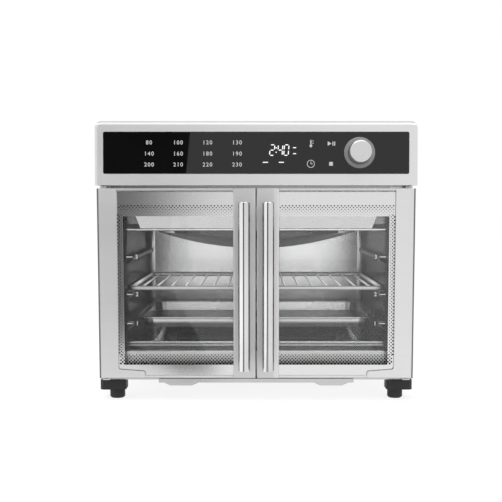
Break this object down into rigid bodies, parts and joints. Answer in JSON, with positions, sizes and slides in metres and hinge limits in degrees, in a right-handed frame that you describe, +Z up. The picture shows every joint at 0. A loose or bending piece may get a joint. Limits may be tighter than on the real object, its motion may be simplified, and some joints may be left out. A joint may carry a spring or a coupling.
{
  "type": "toaster oven",
  "caption": "Countertop convection oven with side-hinged glass double doors, bar handles, a control fascia with a dial, a wire rack, a baking pan and a pull-out crumb tray.",
  "frame": {"origin": "on the surface under the feet, below the middle of the bounding box", "axes": "+X to the user's right, +Y to the back, +Z up; the doors face -Y"},
  "size_m": [0.435, 0.4128, 0.3805],
  "materials": {
    "fascia_steel": "brushed silver",
    "door_steel": "brushed silver",
    "polished_steel": "polished",
    "chromed_wire": "bright plated",
    "door_glass": "clear, printed border",
    "panel_gloss": "high gloss black",
    "display_face": "dark display module",
    "cavity_sheet": "satin aluminised sheet",
    "guard_enamel": "dark heat-proof enamel",
    "frame_enamel": "dark heat-proof coating",
    "sill_steel": "polished sill",
    "wall_sheet": "aluminised sheet, darkened by heat",
    "cover_paint": "fine satin silver paint",
    "zinc_sheet": "dull zinc-coated sheet",
    "pan_metal": "satin",
    "foot_rubber": "matt black",
    "black_plastic": "matt black moulding",
    "ring_grey": "satin grey",
    "knob_silver": "fine turned face",
    "heater_sheath": "dull heat-darkened sheath",
    "bush_ceramic": "unglazed",
    "board_laminate": "green laminate",
    "motor_steel": "dull steel",
    "bright_steel": "bright steel"
  },
  "bodies": {
    "oven": {"base_pan": "zinc_sheet", "outer_cover": "cover_paint", "rear_panel": "zinc_sheet", "cord_inlet": "black_plastic", "shell_screws": "bright_steel", "feet": "foot_rubber", "front_frame": "frame_enamel", "header_hood": "cavity_sheet", "sill": "sill_steel", "cavity_left_wall": "wall_sheet", "cavity_right_wall": "wall_sheet", "cavity_back_wall": "cavity_sheet", "cavity_ceiling": "wall_sheet", "cavity_floor": "cavity_sheet", "lower_heaters": "heater_sheath", "heater_bushes": "bush_ceramic", "ring_heater": "heater_sheath", "fan_guard": "guard_enamel", "fan_motor": "motor_steel", "motor_bracket": "zinc_sheet", "power_board": "board_laminate", "fascia": "fascia_steel", "control_panel": "panel_gloss", "display_module": "display_face", "control_board": "board_laminate", "knob_encoder": "motor_steel", "knob_ring": "ring_grey", "hinge_brackets": "bright_steel", "hinge_pins": "bright_steel", "door_magnets": "black_plastic", "wire_rack": "chromed_wire", "baking_pan": "pan_metal", "tray_runners": "zinc_sheet"},
    "left_door": {"left_door_hinge_stile": "door_steel", "left_door_hinge_bushes": "black_plastic", "left_door_centre_stile": "door_steel", "left_door_top_trim": "door_steel", "left_door_bottom_trim": "door_steel", "left_door_glass": "door_glass", "left_door_handle": "polished_steel", "left_door_handle_posts": "bright_steel", "left_door_strike": "bright_steel"},
    "right_door": {"right_door_hinge_stile": "door_steel", "right_door_hinge_bushes": "black_plastic", "right_door_centre_stile": "door_steel", "right_door_top_trim": "door_steel", "right_door_bottom_trim": "door_steel", "right_door_glass": "door_glass", "right_door_handle": "polished_steel", "right_door_handle_posts": "bright_steel", "right_door_strike": "bright_steel"},
    "knob": {"knob": "knob_silver", "knob_shaft": "bright_steel"},
    "fan": {"fan_impeller": "bright_steel", "fan_shaft": "bright_steel"},
    "crumb_tray": {"crumb_tray": "bright_steel"}
  },
  "joints": [
    {"name": "left_door_hinge", "type": "hinge", "parent": "oven", "child": "left_door", "pos_m": [-0.206, -0.15763, 0.161], "axis": [0, 0, -1], "range_deg": [0, 110]},
    {"name": "right_door_hinge", "type": "hinge", "parent": "oven", "child": "right_door", "pos_m": [0.206, -0.15763, 0.161], "axis": [0, 0, 1], "range_deg": [0, 110]},
    {"name": "knob_turn", "type": "hinge", "parent": "oven", "child": "knob", "pos_m": [0.1388, -0.16334, 0.33798], "axis": [0, -0.9972, 0.0754], "continuous": true},
    {"name": "fan_spin", "type": "hinge", "parent": "oven", "child": "fan", "pos_m": [0, 0.01337, 0.235], "axis": [0, 0, 1], "continuous": true},
    {"name": "crumb_tray_slide", "type": "slide", "parent": "oven", "child": "crumb_tray", "axis": [0, -1, 0], "range_m": [0, 0.26]}
  ]
}
